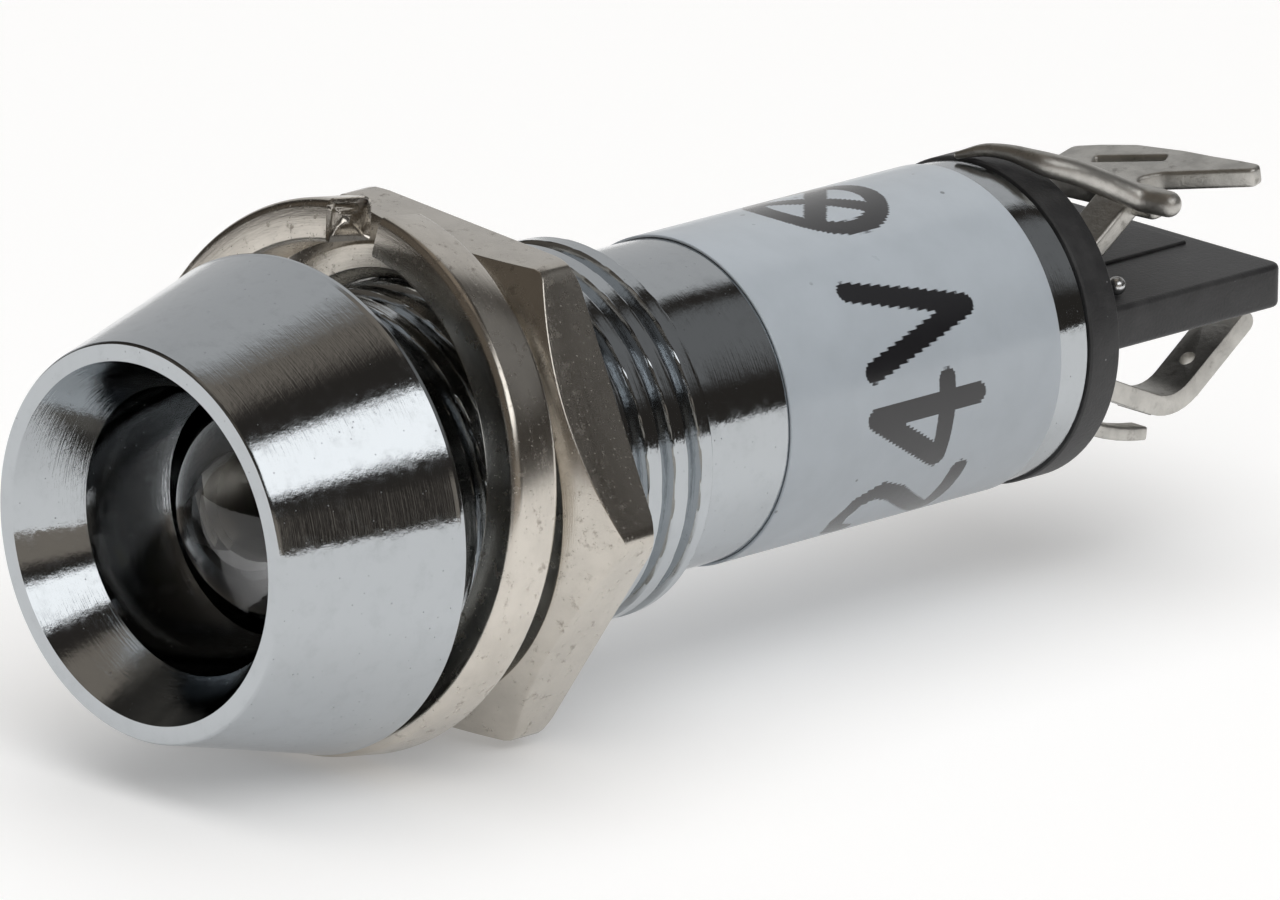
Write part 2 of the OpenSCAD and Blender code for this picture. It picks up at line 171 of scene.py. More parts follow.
def makePiece(name, shells, material, body, replaced=(), sharp=35):
    # shells are (points in millimetres, faces); they are merged, closed and turned outwards one by one
    joined = bmesh.new()
    for points, faces in shells:
        part = bpy.data.meshes.new("part")
        part.from_pydata((np.asarray(points).reshape(-1, 3) * mm).tolist(), [], faces)
        shell = bmesh.new()
        shell.from_mesh(part)
        bmesh.ops.remove_doubles(shell, verts=shell.verts, dist=2e-7)
        bmesh.ops.dissolve_degenerate(shell, edges=shell.edges, dist=1e-8)
        bmesh.ops.recalc_face_normals(shell, faces=shell.faces)
        shell.to_mesh(part)
        shell.free()
        joined.from_mesh(part)
        bpy.data.meshes.remove(part)
    mesh = bpy.data.meshes.new(name)
    joined.to_mesh(mesh)
    joined.free()
    mesh.polygons.foreach_set("use_smooth", [True] * len(mesh.polygons))
    mesh.set_sharp_from_angle(angle=math.radians(sharp))
    mesh.materials.append(material)
    piece = bpy.data.objects.new(name, mesh)
    bpy.context.scene.collection.objects.link(piece)
    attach(piece, body)
    if replaced:
        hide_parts(*replaced)
    print(name, len(mesh.polygons), "faces")
    return piece


def rounded(points, radii, steps=5, closed=True):
    # each corner of a polyline becomes an arc that touches both of its sides
    points = np.asarray(points, float)
    out = []
    for i, radius in enumerate(radii):
        p, a, b = points[i], points[i - 1], points[(i + 1) % len(points)]
        if radius == 0 or (not closed and i in (0, len(points) - 1)):
            out.append(p[None, :])
            continue
        u, v = (a - p) / np.linalg.norm(a - p), (b - p) / np.linalg.norm(b - p)
        half = math.acos(np.clip(u @ v, -1, 1)) / 2
        if half > math.pi / 2 - 0.01:
            out.append(p[None, :])
            continue
        reach = min(radius / math.tan(half), 0.49 * np.linalg.norm(a - p), 0.49 * np.linalg.norm(b - p))
        radius = reach * math.tan(half)
        centre = p + (u + v) / np.linalg.norm(u + v) * radius / math.sin(half)
        s, e = p + u * reach - centre, p + v * reach - centre
        sweep = math.pi - 2 * half
        k = np.linspace(0, 1, steps + 1)[:, None]
        out.append(centre + (np.sin((1 - k) * sweep) * s + np.sin(k * sweep) * e) / math.sin(sweep))
    return np.concatenate(out)


def filled(points, step):
    # more points along the long sides of a polyline
    out = []
    for a, b in zip(points[:-1], points[1:]):
        n = max(1, int(math.ceil(np.linalg.norm(b - a) / step)))
        out.append(a + (b - a) * (np.arange(n) / n)[:, None])
    out.append(points[-1:])
    return np.concatenate(out)


def lathe(profile, cols):
    # a (radius, y) profile turned about Y: x = r sin t, z = r cos t
    t = np.arange(cols) / cols * 2 * np.pi
    r, y = profile[:, 0][:, None], profile[:, 1][:, None]
    return np.stack((r * np.sin(t), y + 0 * t, r * np.cos(t)), -1)


def lattice(u, v, seed, period=None):
    # smooth value noise from -1 to 1 on a table of random numbers; u repeats after period
    table = np.random.default_rng(seed).uniform(-1, 1, (256, 64))
    ui, vi = np.floor(u).astype(int), np.floor(v).astype(int)
    fu, fv = u - ui, v - vi
    fu, fv = fu * fu * (3 - 2 * fu), fv * fv * (3 - 2 * fv)
    wrap = period or 256
    pick = lambda a, b: table[(a % wrap) % 256, b % 64]
    return ((pick(ui, vi) * (1 - fu) + pick(ui + 1, vi) * fu) * (1 - fv)
            + (pick(ui, vi + 1) * (1 - fu) + pick(ui + 1, vi + 1) * fu) * fv)


def boxSection(width, thick, corner, inset=0.0, steps=4):
    # rounded rectangle about the origin, as (across, through) pairs
    w, t = max(width / 2 - inset, 0.004), max(thick / 2 - inset, 0.004)
    c = min(max(corner - inset, 0.003), w * 0.98, t * 0.98)
    return rounded([(-w, -t), (w, -t), (w, t), (-w, t)], [c] * 4, steps)


def strip(path, x, width, thick, corner, tip):
    # a rounded bar carried along a (y, z) path at one x, with a rounded tip
    path = np.asarray(path, float)
    tangent = np.gradient(path, axis=0)
    tangent /= np.linalg.norm(tangent, axis=1)[:, None]
    a = np.linspace(0, np.pi / 2, 7)[1:]
    insets = np.concatenate((np.zeros(len(path)), tip * (1 - np.cos(a))))
    spine = np.concatenate((path, path[-1] + tangent[-1] * (tip * np.sin(a))[:, None]))
    tangent = np.concatenate((tangent, np.repeat(tangent[-1:], len(a), 0)))
    across = np.stack((-tangent[:, 1], tangent[:, 0]), -1)
    rings = np.stack([boxSection(width, thick, corner, inset) for inset in insets])
    yz = spine[:, None, :] + across[:, None, :] * rings[:, :, 1:]
    points = np.concatenate((x + rings[:, :, :1], yz), -1)
    rows, cols = points.shape[:2]
    caps = [points[i].mean(0) for i in (0, -1)]
    faces = gridFaces(rows, cols)
    n = rows * cols
    faces += [[n, (j + 1) % cols, j] for j in range(cols)]
    faces += [[n + 1, n - cols + j, n - cols + (j + 1) % cols] for j in range(cols)]
    return np.concatenate((points.reshape(-1, 3), caps)), faces


def tube(knots, sides, between):
    # a round bar through (x, y, z, radius) knots along a smooth curve, with round ends
    k = np.concatenate((2 * knots[:1] - knots[1:2], knots, 2 * knots[-1:] - knots[-2:-1]))
    t = np.linspace(0, len(knots) - 1, (len(knots) - 1) * between + 1)
    i = np.minimum(t.astype(int), len(knots) - 2)
    f = (t - i)[:, None]
    a, b, c, d = k[i], k[i + 1], k[i + 2], k[i + 3]
    line = 0.5 * (2 * b + (c - a) * f + (2 * a - 5 * b + 4 * c - d) * f ** 2 + (3 * b - a - 3 * c + d) * f ** 3)
    path, radius = line[:, :3], line[:, 3]
    tangent = np.gradient(path, axis=0)
    tangent /= np.linalg.norm(tangent, axis=1)[:, None]
    w = np.radians(np.linspace(90, 15, 6))
    head = path[:1] - tangent[:1] * (radius[0] * np.sin(w))[:, None]
    tail = path[-1:] + tangent[-1:] * (radius[-1] * np.sin(w[::-1]))[:, None]
    radius = np.concatenate((radius[0] * np.cos(w), radius, radius[-1] * np.cos(w[::-1])))
    path = np.concatenate((head, path, tail))
    tangent = np.concatenate((np.repeat(tangent[:1], 6, 0), tangent, np.repeat(tangent[-1:], 6, 0)))
    side = np.cross(tangent, (0, 0, 1))
    side /= np.linalg.norm(side, axis=1)[:, None]
    up = np.cross(side, tangent)
    a = np.arange(sides) / sides * 2 * np.pi
    points = path[:, None] + radius[:, None, None] * (np.cos(a)[None, :, None] * side[:, None] + np.sin(a)[None, :, None] * up[:, None])
    return points, gridFaces(len(path), sides)


def plate(loops, thick, edge, steps=4):
    # flat outlines (the first outside, the rest holes) given a thickness and rounded rims
    a = np.linspace(np.pi / 2, 0, steps + 1)
    inset = np.concatenate((edge * (1 - np.cos(a)), edge * (1 - np.cos(a[::-1]))))
    height = np.concatenate((thick / 2 - edge * (1 - np.sin(a)), -thick / 2 + edge * (1 - np.sin(a[::-1]))))
    points, faces, tops, start = [], [], [], 0
    for number, loop in enumerate(loops):
        loop = np.asarray(loop, float)
        area = np.sum(loop[:, 0] * np.roll(loop[:, 1], -1) - np.roll(loop[:, 0], -1) * loop[:, 1])
        if (area > 0) != (number == 0):
            loop = loop[::-1]
        side = np.roll(loop, -1, 0) - np.roll(loop, 1, 0)
        inward = np.stack((-side[:, 1], side[:, 0]), -1) / np.linalg.norm(side, axis=1)[:, None]
        ring = loop[None] + inward[None] * inset[:, None, None]
        full = np.concatenate((ring, np.broadcast_to(height[:, None, None], ring.shape[:2] + (1,))), -1)
        rows, cols = full.shape[:2]
        points.append(full.reshape(-1, 3))
        faces += gridFaces(rows, cols, start=start)
        tops.append((start, cols, rows, full[0]))
        start += rows * cols
    flat = [[Vector(p) for p in top[3]] for top in tops]
    order = np.concatenate([top[0] + np.arange(top[1]) for top in tops])
    low = np.concatenate([top[0] + (top[2] - 1) * top[1] + np.arange(top[1]) for top in tops])
    for tri in tessellate_polygon(flat):
        faces.append([int(order[i]) for i in tri])
        faces.append([int(low[i]) for i in tri[::-1]])
    return np.concatenate(points), faces


def placed(points, turnX=0.0, turnY=0.0, offset=(0, 0, 0)):
    # turned about X, then about Y, in degrees, then moved
    turn = Matrix.Rotation(math.radians(turnY), 3, "Y") @ Matrix.Rotation(math.radians(turnX), 3, "X")
    return np.asarray(points) @ np.array(turn).T + np.asarray(offset)


def arc(centre, radius, start, end, steps):
    # points of an arc in the (y, z) plane, angles in degrees
    a = np.radians(np.linspace(start, end, steps))
    return np.stack((centre[0] + radius * np.cos(a), centre[1] + radius * np.sin(a)), -1)


# ---------- finishes ----------

def polishedChrome():
    look = {"shade": (0.475, 0.50, 0.52), "rough": 0.05, "haze": 0.10, "lathe": 0.0022, "peel": 0.003}
    s = Surface("polishedChrome", Metallic=1.0, IOR=1.5)
    around = s.vector(s.turn * 1.6, s.y * 26.0, s.radius * 26.0)
    lines = s.noise(around, 1.0, 4.0, 0.6)
    peel = s.noise(s.place, 5.5, 3.0, 0.6)
    haze = s.noise(s.place, 2.2, 5.0, 0.65).smooth(0.45, 0.75)
    specks = s.cells(s.place, 4.0).smooth(0.11, 0.05)
    shade = haze.mix(look["shade"], tuple(0.94 * c for c in look["shade"]))
    s.set(Base_Color=specks.mix(shade, (0.36, 0.38, 0.40)))
    s.set(Roughness=look["rough"] + haze * look["haze"] + specks * 0.2 + lines * 0.05)
    return s.bump(lines * (look["lathe"] / look["peel"]) + peel, look["peel"]).material


def nickelPlate(name, shade, dark, streak, torn=None):
    # warm plating with grime in random patches; torn gives the two bearings, in degrees, between which
    # only rough broken metal shows
    look = {"rough": 0.17, "grain": 0.0035}
    s = Surface(name, Metallic=1.0)
    along = s.vector(s.turn * streak[0], s.y * streak[1], s.radius * streak[2])
    lines = s.noise(along, 1.0, 4.0, 0.65)
    fog = s.noise(s.place, 1.3, 5.0, 0.6)
    grime = s.noise(s.place, 3.4, 6.0, 0.7).smooth(0.55, 0.78)
    colour = fog.smooth(0.35, 0.7).mix(shade, tuple(0.9 * c for c in shade))
    colour = (grime * 0.7).mix(colour, dark)
    rough = look["rough"] + lines * 0.12 + grime * 0.28
    pits = s.cells(s.place, 9.0).smooth(0.16, 0.05)
    relief = lines - pits * 0.8
    if torn:
        lumps = s.noise(s.place, 4.5, 6.0, 0.7)
        raw = (s.turn * (180 / math.pi)).between(torn[0], torn[1], 0.25)
        colour = raw.mix(colour, lumps.smooth(0.42, 0.75).mix((0.03, 0.02, 0.014), (0.42, 0.35, 0.28)))
        rough = rough + raw * 0.3
        relief = relief + raw * lumps * 12.0
    s.set(Base_Color=colour)
    s.set(Roughness=rough)
    return s.bump(relief, look["grain"]).material


def clearResin():
    s = Surface("clearResin", Transmission_Weight=1.0, IOR=1.53, Base_Color=(0.97, 0.98, 0.99, 1))
    smear = s.noise(s.place, 1.6, 3.0)
    s.set(Roughness=0.012 + smear.smooth(0.5, 0.8) * 0.03)
    return s.bump(smear, 0.002).material


def filmLabel():
    # pale film with printed strokes; the ink is where the distance to a stroke, stepped into small
    # squares, is under half its width
    look = {"film": (0.44, 0.485, 0.53), "ink": (0.012, 0.012, 0.014), "dot": 0.07}
    s = Surface("filmLabel", Coat_Weight=0.35, Coat_Roughness=0.12)
    u = -(s.turn * (3.485 / look["dot"])).round() * look["dot"]
    v = (s.y / 0.02).round() * 0.02
    marks = None
    for ua, va, ub, vb in printStrokes:
        du, dv = ub - ua, vb - va
        pu, pv = u - ua, v - va
        t = ((pu * du + pv * dv) / (du * du + dv * dv)).clamp()
        eu, ev = pu - t * du, pv - t * dv
        far = (eu * eu + ev * ev).root()
        marks = far if marks is None else marks.least(far)
    for cu, cv, radius in printRings:
        du, dv = u - cu, v - cv
        marks = marks.least(abs((du * du + dv * dv).root() - radius))
    edge = s.noise(s.place, 9.0, 2.0) * 0.05
    ink = (marks + edge).smooth(printWidth / 2 + 0.05, printWidth / 2 + 0.02)
    fleck = s.cells(s.place, 1.15).smooth(0.075, 0.055) * s.noise(s.place, 0.8).smooth(0.5, 0.6)
    cloud = s.noise(s.place, 0.9, 4.0)
    film = cloud.smooth(0.3, 0.75).mix(look["film"], tuple(0.93 * c for c in look["film"]))
    s.set(Base_Color=(ink + fleck * 0.6).clamp().mix(film, look["ink"]))
    s.set(Roughness=0.24 + cloud * 0.12 - ink * 0.05)
    return s.bump(s.noise(s.place, 1.1, 3.0) + ink * 0.12, 0.012).material


def mouldedBlack():
    s = Surface("mouldedBlack", Specular_IOR_Level=0.5)
    fine = s.noise(s.place, 14.0, 4.0, 0.6)
    cloud = s.noise(s.place, 1.4, 4.0, 0.6)
    dust = s.cells(s.place, 2.6).smooth(0.07, 0.04) * s.noise(s.place, 2.0).smooth(0.5, 0.62)
    tone = cloud.smooth(0.35, 0.75).mix((0.016, 0.016, 0.017), (0.034, 0.034, 0.035))
    s.set(Base_Color=(dust * 0.5).mix(tone, (0.35, 0.35, 0.36)))
    s.set(Roughness=0.34 + cloud * 0.22)
    return s.bump(fine + cloud * 0.7, 0.012).material


def dullTin():
    s = Surface("dullTin", Metallic=1.0)
    flow = s.noise(s.place, 1.7, 5.0, 0.6)
    grain = s.noise(s.place, 11.0, 4.0, 0.65)
    stain = s.noise(s.place, 2.6, 4.0, 0.7).smooth(0.56, 0.74)
    tone = flow.smooth(0.3, 0.75).mix((0.60, 0.585, 0.55), (0.45, 0.44, 0.415))
    s.set(Base_Color=(stain * 0.55).mix(tone, (0.20, 0.185, 0.165)))
    s.set(Roughness=0.34 + flow * 0.16 + stain * 0.12)
    return s.bump(grain * 0.4 + flow, 0.02).material


def plainFinish(name, light, dark, rough, metal, scale, depth):
    # small hidden pieces: two tones clouded together over a fine grain
    s = Surface(name, Metallic=metal)
    cloud = s.noise(s.place, scale, 4.0, 0.6)
    s.set(Base_Color=cloud.smooth(0.35, 0.7).mix(light, dark))
    s.set(Roughness=rough + cloud * 0.15)
    return s.bump(cloud, depth).material


# the print reads round the sleeve with its feet towards the lugs: own strokes for a voltage, then a lamp
# sign; glyph points are (right, down) in units of the height
printSize = {"high": 2.95, "top": 13.35}
printWidth = 0.46
glyphs = {
    "two": [(0.03, 0.22), (0.1, 0.06), (0.28, 0.0), (0.46, 0.06), (0.54, 0.24), (0.46, 0.44), (0.03, 1.0), (0.56, 1.0)],
    "four": [(0.44, 1.0), (0.44, 0.0), (0.0, 0.7), (0.6, 0.7)],
    "vee": [(0.0, 0.0), (0.3, 1.0), (0.6, 0.0)]}
printStrokes = [(-0.92, 14.03, 0.92, 15.87), (-0.92, 15.87, 0.92, 14.03)]
printRings = [(0.0, 14.95, 1.3)]
for start, name in ((-9.1, "two"), (-6.9, "four"), (-4.6, "vee")):
    run = np.array(glyphs[name]) * printSize["high"] + (start, printSize["top"])
    printStrokes += [(*a, *b) for a, b in zip(run[:-1].tolist(), run[1:].tolist())]


print("helpers ready")

# ---------- body ----------

bodyLook = {"columns": 180, "pitch": 0.75, "crest": 0.33, "depth": 0.34, "phase": 1.175, "facing": 67.0}


def threadRadius(r, y, t):
    # crest flats joined by eased flanks; the crest line climbs one pitch per turn, right-handed
    p = (y - bodyLook["phase"]) / bodyLook["pitch"] - (t - math.radians(bodyLook["facing"])) / (2 * np.pi)
    away = np.abs(p - np.round(p)) * bodyLook["pitch"] - bodyLook["crest"] / 2
    k = np.clip(away / 0.17, 0, 1)
    cut = bodyLook["depth"] * (k * k * (3 - 2 * k)) - 0.012 * np.exp(-(away / 0.03) ** 2)
    burr = 0.012 * lattice(t * 60 / (2 * np.pi) * 2, y * 5, 3, 120) * np.exp(-(away / 0.04) ** 2)
    live = np.clip((y - 0.72) / 0.2, 0, 1) * np.clip((8.35 - y) / 0.05, 0, 1)
    limit = np.minimum(4.0, 4.0 - (y - 8.1) * 1.3)
    root = 4.0 - bodyLook["depth"]
    threaded = np.minimum(4.0 - cut - 0.004 + burr, limit)
    inside = (y > 0.5) & (y < 8.36) & (r > 3.6)
    return np.where(inside, np.maximum(root, root + (threaded - root) * live), r)


bowlY = np.linspace(-2.85, -0.9507, 26)
bowlR = 1.9 + 1.15 * np.sqrt(np.clip(1 - ((bowlY + 2.6) / 2.0) ** 2, 0, 1))
bowlY, bowlR = bowlY[bowlR > 2.55], bowlR[bowlR > 2.55]
outer = np.array([(3.76, -4.2), (4.12, -4.2), (4.16, -4.14), (5.15, -0.22), (5.18, -0.14), (5.18, -0.05), (5.13, 0), (4.0, 0),
                  (4.0, 0.34), (3.66, 0.46), (3.66, 8.37), (3.42, 8.6), (3.42, 19.59), (3.37, 19.64), (3.0, 19.64)])
outer = rounded(outer, [0.03, 0.03, 0.03, 0.05, 0.04, 0.04, 0.03, 0, 0.03, 0.03, 0.02, 0.05, 0.03, 0.03, 0.03], 4, closed=False)
inner = np.concatenate(([(3.0, 5.3), (2.55, 5.3)], np.stack((bowlR, bowlY), -1)[::-1], [(3.0, -2.87)]))
profile = np.concatenate((outer, inner, [(3.76, -4.2)]))
dense = []
for a, b in zip(profile[:-1], profile[1:]):
    step = 0.025 if a[1] > 0.45 and b[1] < 8.4 and a[0] > 3.6 and b[1] > a[1] else 0.35
    dense.append(filled(np.array([a, b]), step)[:-1])
profile = np.concatenate(dense)
points = lathe(profile, bodyLook["columns"])
turn = np.arange(bodyLook["columns"]) / bodyLook["columns"] * 2 * np.pi
radius = threadRadius(profile[:, 0][:, None] + 0 * turn, profile[:, 1][:, None] + 0 * turn, turn[None, :])
points[..., 0], points[..., 2] = radius * np.sin(turn), radius * np.cos(turn)
chrome = polishedChrome()
makePiece("bodyShell", [(points, gridFaces(*points.shape[:2], wrapRows=True))], chrome, "barrel", ["body_shell"], 30)

# ---------- LED ----------

a = np.radians(np.linspace(0, 90, 40))
dome = np.stack((2.5 * np.sin(a), 0.25 - 2.5 * np.cos(a)), -1)
lens = np.concatenate((dome, rounded([(2.5, 5.32), (2.9, 5.32), (2.9, 6.3), (0, 6.3)], [0.05, 0.08, 0.08, 0], 4, closed=False)))
points = lathe(lens, 96)
makePiece("ledLens", [(points, gridFaces(*points.shape[:2]))], clearResin(), "barrel", ["led_lens"], 40)

# ---------- lock washer ----------

washerLook = {"width": 0.9, "height": 1.28, "gap": 16.0, "at": 1.0, "lean": -8.6, "offset": (-0.28, 1.03, 0.28)}
section = rounded([(4.8, 0), (5.7, 0), (5.7, 1.28), (4.8, 1.28)], [0.1, 0.2, 0.2, 0.1], 5)
t = np.radians(washerLook["at"] + np.linspace(washerLook["gap"] / 2, 360 - washerLook["gap"] / 2, 220))
ring = np.stack((section[:, 0] * np.sin(t)[:, None], section[:, 1] + 0 * t[:, None], section[:, 0] * np.cos(t)[:, None]), -1)
rows, cols = ring.shape[:2]


def brokenEnd(edge, outward, seed):
    # rings shrinking to the middle of a section, pushed out and in like torn metal
    mid = edge.mean(0)
    k = np.linspace(0, 1, 9)[1:, None, None]
    rings = edge + (mid - edge) * k
    w = 0.10 * lattice(rings[..., 0] * 3.3 + 40, (rings[..., 1] + rings[..., 2]) * 3.3 + 40, seed)
    w += 0.05 * lattice(rings[..., 0] * 9 + 40, (rings[..., 1] - rings[..., 2]) * 9 + 40, seed + 1)
    return rings + outward * (w * np.clip(k[..., 0] * 6, 0, 1))[..., None]


def along(angle):
    return np.array([math.cos(angle), 0, -math.sin(angle)])


startRings = brokenEnd(ring[0], -along(t[0]), 11)[::-1]
endRings = brokenEnd(ring[-1], along(t[-1]), 21)
full = np.concatenate((startRings, ring, endRings))
points = placed(full.reshape(-1, 3), turnX=washerLook["lean"], offset=washerLook["offset"])
washer = makePiece("lockWasher", [(points, gridFaces(len(full), cols))], nickelPlate("washerNickel", (0.66, 0.62, 0.56), (0.12, 0.085, 0.055), (3.0, 9.0, 9.0), (-9.2, 5.4)),
                   "washer", ["lock_washer"], 40)

# ---------- nut ----------

nutLook = {"front": 3.05, "high": 1.7, "flats": 10.2, "turn": 3.9, "face": 4.78}
cornerR = nutLook["flats"] / 2 / math.cos(math.pi / 6)
t = np.radians(np.arange(0, 360, 1.5))
fold = (t + np.pi / 6) % (np.pi / 3) - np.pi / 6
flat = np.minimum(nutLook["flats"] / 2 / np.cos(fold), cornerR - 0.05)
columns = []
for R in flat:
    front = (R - nutLook["face"]) * 0.72
    rear = nutLook["high"] - max(0.03, 0.28 * (R - (cornerR - 0.25)) / 0.45)
    rearR = min(R - 0.03, cornerR - 0.25)
    columns.append(rounded([(4.04, 0.27), (4.3, 0.0), (nutLook["face"], 0), (R, front), (R, rear), (rearR, nutLook["high"]),
                            (4.3, nutLook["high"]), (4.04, nutLook["high"] - 0.27)], [0.02, 0.03, 0.05, 0.05, 0.03, 0.03, 0.03, 0.02], 3))
columns = np.stack(columns, 1)
t = t + math.radians(nutLook["turn"] + 0.0)
points = np.stack((columns[..., 0] * np.sin(t), nutLook["front"] + columns[..., 1], columns[..., 0] * np.cos(t)), -1)
makePiece("hexNut", [(points, gridFaces(*points.shape[:2], wrapRows=True))], nickelPlate("nutNickel", (0.60, 0.565, 0.51), (0.09, 0.065, 0.045), (2.0, 14.0, 14.0)),
          "nut", ["hex_nut"], 25)

# ---------- rear plug ----------

black = mouldedBlack()
plugBack = 20.51
disc = rounded([(0, 17.04), (2.82, 17.04), (2.97, 17.24), (2.97, 19.64), (3.46, 19.64), (3.49, 19.69), (3.49, 20.46), (3.44, 20.51), (0, 20.51)],
               [0, 0.02, 0.02, 0.02, 0.02, 0.03, 0.05, 0.05, 0], 4, closed=False)
points = lathe(filled(disc, 0.5), 128)
shells = [(points, gridFaces(*points.shape[:2]))]
leaf = filled(rounded([(-3.3, 20.3), (3.3, 20.3), (3.3, 25.55), (-3.3, 25.55)], [0.05, 0.05, 0.26, 0.26], 6), 0.4)
points, faces = plate([leaf], 0.95, 0.12)
shells.append((points + (0, 0, -0.13 + 0.475), faces))
leaf = filled(rounded([(-3.15, 20.41), (0.95, 20.41), (0.95, 25.1), (-3.15, 25.1)], [0.05, 0.05, 0.12, 0.12], 6), 0.4)
points, faces = plate([leaf], 0.3, 0.05)
shells.append((points + (0, 0, 0.82 + 0.07 - 0.15), faces))
makePiece("rearPlug", shells, black, "barrel", ["rear_plug"], 40)


def softened(name, node, material, width, body="barrel"):
    # a merged copy of a flat-sided CAD piece with its edges rounded
    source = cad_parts[node]
    mesh = source.data.copy()
    mesh.name = name
    work = bmesh.new()
    work.from_mesh(mesh)
    bmesh.ops.remove_doubles(work, verts=work.verts, dist=1e-7)
    bmesh.ops.dissolve_limit(work, angle_limit=math.radians(1.0), verts=work.verts, edges=work.edges)
    work.to_mesh(mesh)
    work.free()
    mesh.materials.clear()
    mesh.materials.append(material)
    piece = bpy.data.objects.new(name, mesh)
    bpy.context.scene.collection.objects.link(piece)
    bevel = piece.modifiers.new("edges", "BEVEL")
    bevel.width, bevel.segments, bevel.limit_method, bevel.angle_limit = width * mm, 3, "ANGLE", math.radians(35)
    bevel.harden_normals = False
    mesh.polygons.foreach_set("use_smooth", [True] * len(mesh.polygons))
    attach(piece, body)
    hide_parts(node)
    print(name, len(mesh.polygons), "faces")
    return piece


tin = dullTin()

legPath = rounded([(16.14, 1.05), (20.56, 1.05), (22.4, 2.3624), (22.707, 2.4056)], [0, 0.3, 0.45, 0], 6, closed=False)
shells = [strip(filled(legPath, 0.3), 1.5, 1.0, 0.44, 0.09, 0.02)]
headOutline = rounded(
    [(-0.95, 0.2), (-0.6, 0.15), (-0.6, -0.1), (0.6, -0.1), (1.0, -0.05), (1.75, -0.05), (1.75, -0.22), (2.6, -0.22), (2.6, 0.45), (2.25, 0.6),
     (1.157, 0.6), (1.5, 1.2), (3.16, 2.27), (3.1, 2.61), (2.55, 2.58), (1.84, 2.5), (1.03, 2.45), (-0.15, 2.24), (-0.87, 1.88), (-1.4, 1.52), (-1.2, 0.3)],
    [0.1, 0.1, 0.1, 0.2, 0.2, 0.1, 0.1, 0.15, 0.15, 0.12, 0.2, 0.4, 0.16, 0.16, 0.5, 0.5, 0.5, 0.5, 0.4, 0.25, 0.2], 5)
slotOutline = rounded([(-0.32, 1.0), (1.022, 1.775), (0.872, 2.035), (-0.47, 1.26)], [0.06] * 4, 4)
points, faces = plate([filled(headOutline, 0.15), slotOutline], 0.42, 0.09)
shells.append((placed(points - (1.5, 0, 0), 8.0, -2.5, (1.5, 22.509, 2.378)), faces))
hookPoints = np.array([
    (-0.37, 19.51, 3.53, 0.08), (0.04, 19.74, 3.67, 0.13), (0.3, 19.9, 3.7, 0.15), (0.68, 20.07, 3.68, 0.18), (1.08, 20.17, 3.63, 0.22),
    (1.42, 20.33, 3.55, 0.26), (1.75, 20.85, 3.35, 0.27), (1.95, 21.65, 2.96, 0.27), (2.27, 22.25, 2.64, 0.27), (2.85, 22.5, 2.59, 0.28)])
shells.append(tube(hookPoints, 24, 8))
makePiece("terminalTop", shells, tin, "barrel", ["terminal_top"], 50)
softened("terminalLow", "terminal_low", tin, 0.09)
softened("keeperTab", "keeper_tab", tin, 0.06)

# ---------- solder bead and label ----------

a = np.radians(np.linspace(12, 180, 14))
bead = np.concatenate(([(0.0, 19.75), (0.13, 19.75), (0.13, 20.5)], np.stack((0.2 * np.sin(a), 21.2 - 0.2 * np.cos(a)), -1)))
bead[-1, 0] = 0
points = lathe(bead, 24) + (2.66, 0, 1.03)
makePiece("solderBead", [(points, gridFaces(*points.shape[:2]))],
          plainFinish("beadSolder", (0.72, 0.73, 0.74), (0.5, 0.5, 0.5), 0.18, 1.0, 3.0, 0.01), "barrel", ["solder_blob"], 60)

film = filled(rounded([(3.426, 10.88), (3.485, 10.88), (3.485, 18.77), (3.426, 18.77)], [0.01, 0.03, 0.03, 0.01], 4), 0.25)
film = np.concatenate((film, film[:1]))[:-1]
points = lathe(film, 160)
makePiece("labelSleeve", [(points, gridFaces(*points.shape[:2], wrapRows=True))], filmLabel(), "barrel", ["label"], 40)

# ---------- finishes of the CAD pieces that stay ----------

wire = plainFinish("leadWire", (0.62, 0.61, 0.58), (0.42, 0.41, 0.39), 0.28, 1.0, 4.0, 0.006)
solder = plainFinish("softSolder", (0.62, 0.63, 0.64), (0.40, 0.40, 0.40), 0.3, 1.0, 5.0, 0.02)
sleeve = plainFinish("blackSleeve", (0.02, 0.02, 0.02), (0.035, 0.035, 0.036), 0.45, 0.0, 3.0, 0.01)
inner = {
    plainFinish("leadFrame", (0.60, 0.59, 0.56), (0.46, 0.45, 0.43), 0.25, 1.0, 4.0, 0.005): ["led_cathode", "led_anode"],
    plainFinish("ledDie", (0.75, 0.66, 0.28), (0.6, 0.5, 0.2), 0.4, 0.0, 8.0, 0.002): ["led_chip"],
    plainFinish("pottingResin", (0.02, 0.02, 0.022), (0.035, 0.035, 0.035), 0.35, 0.0, 2.0, 0.02): ["led_potting"],
    plainFinish("resistorLacquer", (0.62, 0.50, 0.32), (0.52, 0.40, 0.25), 0.35, 0.0, 3.0, 0.01): ["resistor_body"],
    wire: ["resistor_lead_front", "resistor_lead_rear", "link_wire"],
    solder: ["solder_anode", "solder_cathode", "solder_tail_top", "solder_tail_low"],
    sleeve: ["resistor_sleeve", "link_sleeve"]}
for material, names in inner.items():
    for name in names:
        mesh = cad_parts[name].data
        if not mesh.materials:
            mesh.materials.append(material)
        for i in range(len(mesh.materials)):
            mesh.materials[i] = material
print("pieces ready")

# ---------- floor, light, camera ----------

